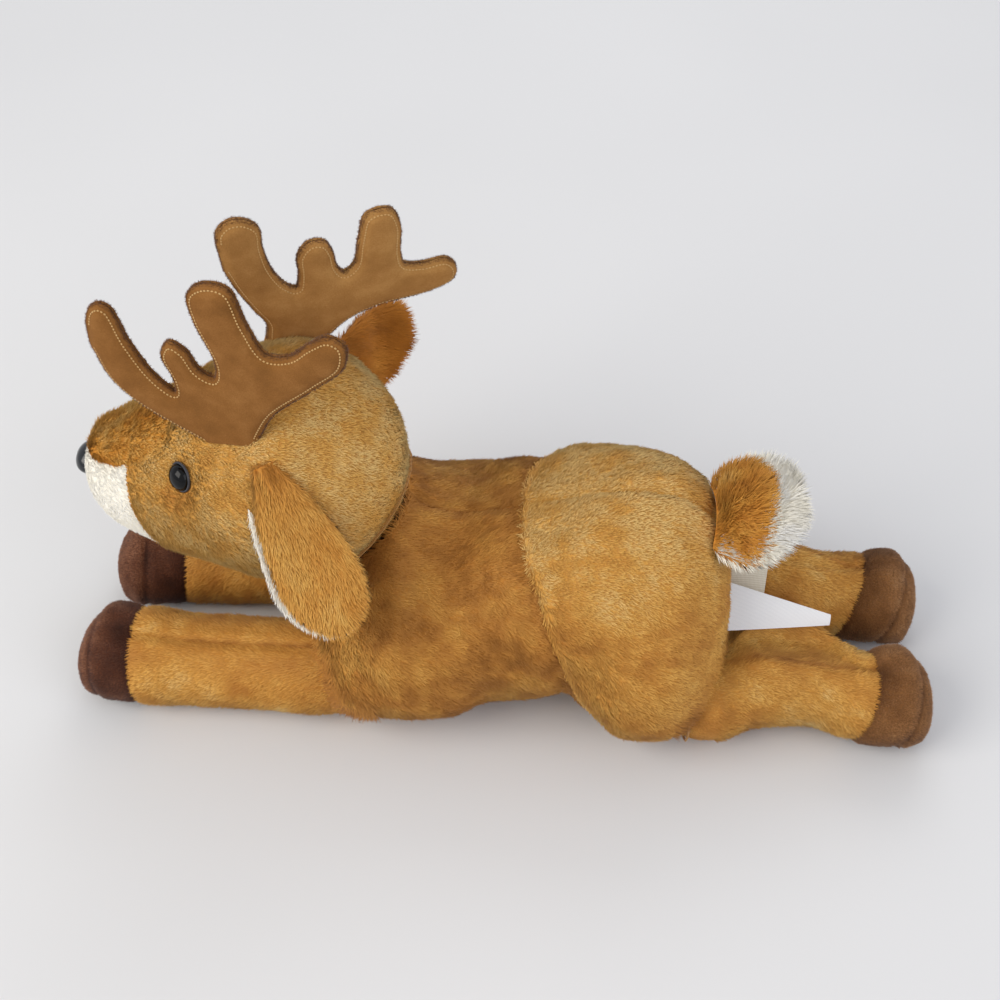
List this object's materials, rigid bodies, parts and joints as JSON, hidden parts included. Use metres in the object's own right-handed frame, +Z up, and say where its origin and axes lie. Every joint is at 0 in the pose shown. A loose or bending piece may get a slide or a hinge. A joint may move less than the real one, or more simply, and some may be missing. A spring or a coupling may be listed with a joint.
{
  "type": "plush deer",
  "caption": "Soft stuffed deer lying on its belly, with felt antlers, hanging ears, jointed limbs and a short tail; an ornament or toy for a floor, shelf or bed.",
  "frame": {"origin": "on the ground, under the middle of the deer's box", "axes": "+Z up; the head points to -X and the tail to +X; the deer's left side is -Y"},
  "size_m": [0.3296, 0.1352, 0.2039],
  "materials": {
    "golden_pile": "short tan polyester pile with a slight sheen",
    "deep_pile": "longer, darker brown polyester pile",
    "cream_pile": "soft cream polyester pile",
    "filling": "loose polyester fibre filling",
    "seam_thread": "twisted polyester sewing thread",
    "antler_suede": "brushed tan-brown suede cloth with topstitching",
    "antler_wadding": "flat polyester wadding",
    "dark_hoof_pile": "very short dark brown minky pile",
    "brown_hoof_pile": "very short mid-brown minky pile",
    "eye_plastic": "polished near-black plastic with a grey rim",
    "nose_plastic": "glossy charcoal plastic",
    "washer_plastic": "plain moulded plastic",
    "care_cloth": "plain cream woven tape, left bare",
    "label_satin": "plain white satin ribbon, left bare"
  },
  "bodies": {
    "torso": {"body_front_left": "golden_pile", "body_front_right": "golden_pile", "haunch_left": "golden_pile", "haunch_right": "golden_pile", "body_stuffing": "filling"},
    "neck": {"neck_seam_thread": "seam_thread"},
    "head": {"face_left": "golden_pile", "face_right": "golden_pile", "bridge_panel": "deep_pile", "muzzle_panel": "cream_pile", "head_stuffing": "filling", "eye_left": "eye_plastic", "eye_right": "eye_plastic", "eye_washer_left": "washer_plastic", "eye_washer_right": "washer_plastic", "nose": "nose_plastic", "nose_washer": "washer_plastic"},
    "left_ear": {"ear_left": "golden_pile", "ear_lining_left": "cream_pile"},
    "right_ear": {"ear_right": "deep_pile", "ear_lining_right": "cream_pile"},
    "left_antler": {"antler_front_left": "antler_suede", "antler_padding_left": "antler_wadding", "antler_back_left": "antler_suede"},
    "right_antler": {"antler_front_right": "antler_suede", "antler_padding_right": "antler_wadding", "antler_back_right": "antler_suede"},
    "left_shoulder": {"front_seam_thread_left": "seam_thread"},
    "left_front_leg": {"front_leg_left": "golden_pile", "front_hoof_left": "dark_hoof_pile"},
    "right_shoulder": {"front_seam_thread_right": "seam_thread"},
    "right_front_leg": {"front_leg_right": "golden_pile", "front_hoof_right": "dark_hoof_pile"},
    "left_hip": {"hind_seam_thread_left": "seam_thread"},
    "left_hind_leg": {"hind_leg_left": "golden_pile", "hind_hoof_left": "brown_hoof_pile"},
    "right_hip": {"hind_seam_thread_right": "seam_thread"},
    "right_hind_leg": {"hind_leg_right": "golden_pile", "hind_hoof_right": "brown_hoof_pile"},
    "tail": {"tail_top": "deep_pile", "tail_underside": "cream_pile"},
    "care_tag": {"care_label": "care_cloth"},
    "flag_tag": {"flag_label": "label_satin"}
  },
  "joints": [
    {"name": "head_turn", "type": "hinge", "parent": "torso", "child": "neck", "pos_m": [-0.077, -0.00746, 0.104], "axis": [0, 0, 1], "range_deg": [-30, 30]},
    {"name": "head_nod", "type": "hinge", "parent": "neck", "child": "head", "pos_m": [-0.077, -0.00746, 0.104], "axis": [0, 1, 0], "range_deg": [-20, 25]},
    {"name": "ear_left_flap", "type": "hinge", "parent": "head", "child": "left_ear", "pos_m": [-0.079, -0.03896, 0.1305], "axis": [0.9088, 0.1806, 0.3762], "range_deg": [-45, 0], "stiffness_Nm_per_rad": 0.004},
    {"name": "ear_right_flap", "type": "hinge", "parent": "head", "child": "right_ear", "pos_m": [-0.066, 0.03054, 0.121], "axis": [0.1401, 0.3907, 0.9098], "range_deg": [-4, 30], "stiffness_Nm_per_rad": 0.004},
    {"name": "antler_left_flex", "type": "hinge", "parent": "head", "child": "left_antler", "pos_m": [-0.0913, -0.03076, 0.1345], "axis": [0.9592, -0.1899, 0.2096], "range_deg": [-9, 10], "stiffness_Nm_per_rad": 0.03},
    {"name": "antler_right_flex", "type": "hinge", "parent": "head", "child": "right_antler", "pos_m": [-0.0794, 0.02034, 0.1377], "axis": [0.8693, 0.3998, -0.2907], "range_deg": [-5, 10], "stiffness_Nm_per_rad": 0.03},
    {"name": "front_leg_left_splay", "type": "hinge", "parent": "torso", "child": "left_shoulder", "pos_m": [-0.058, -0.03446, 0.02], "axis": [0, 0, 1], "range_deg": [-2, 24]},
    {"name": "front_leg_left_lift", "type": "hinge", "parent": "left_shoulder", "child": "left_front_leg", "pos_m": [-0.058, -0.03446, 0.02], "axis": [0, 1, 0], "range_deg": [-25, 14]},
    {"name": "front_leg_right_splay", "type": "hinge", "parent": "torso", "child": "right_shoulder", "pos_m": [-0.058, 0.02454, 0.02], "axis": [0, 0, 1], "range_deg": [-24, 2]},
    {"name": "front_leg_right_lift", "type": "hinge", "parent": "right_shoulder", "child": "right_front_leg", "pos_m": [-0.058, 0.02454, 0.02], "axis": [0, 1, 0], "range_deg": [-25, 14]},
    {"name": "hind_leg_left_splay", "type": "hinge", "parent": "torso", "child": "left_hip", "pos_m": [0.078, -0.03746, 0.02], "axis": [0, 0, 1], "range_deg": [-25, 2]},
    {"name": "hind_leg_left_lift", "type": "hinge", "parent": "left_hip", "child": "left_hind_leg", "pos_m": [0.078, -0.03746, 0.02], "axis": [0, 1, 0], "range_deg": [-15, 25]},
    {"name": "hind_leg_right_splay", "type": "hinge", "parent": "torso", "child": "right_hip", "pos_m": [0.078, 0.02654, 0.02], "axis": [0, 0, 1], "range_deg": [-2, 25]},
    {"name": "hind_leg_right_lift", "type": "hinge", "parent": "right_hip", "child": "right_hind_leg", "pos_m": [0.078, 0.02654, 0.02], "axis": [0, 1, 0], "range_deg": [-15, 25]},
    {"name": "tail_lift", "type": "hinge", "parent": "torso", "child": "tail", "pos_m": [0.076, -0.00746, 0.084], "axis": [0, 1, 0], "range_deg": [-25, 12], "stiffness_Nm_per_rad": 0.005},
    {"name": "care_label_flap", "type": "hinge", "parent": "torso", "child": "care_tag", "pos_m": [0.08495, -0.00546, 0.0513], "axis": [0.0984, 0.7071, 0.7002], "range_deg": [-8, 12], "stiffness_Nm_per_rad": 0.0002},
    {"name": "flag_label_flap", "type": "hinge", "parent": "torso", "child": "flag_tag", "pos_m": [0.08485, -0.01895, 0.04888], "axis": [0.0843, 0.7199, 0.689], "range_deg": [-12, 8], "stiffness_Nm_per_rad": 0.0004}
  ]
}
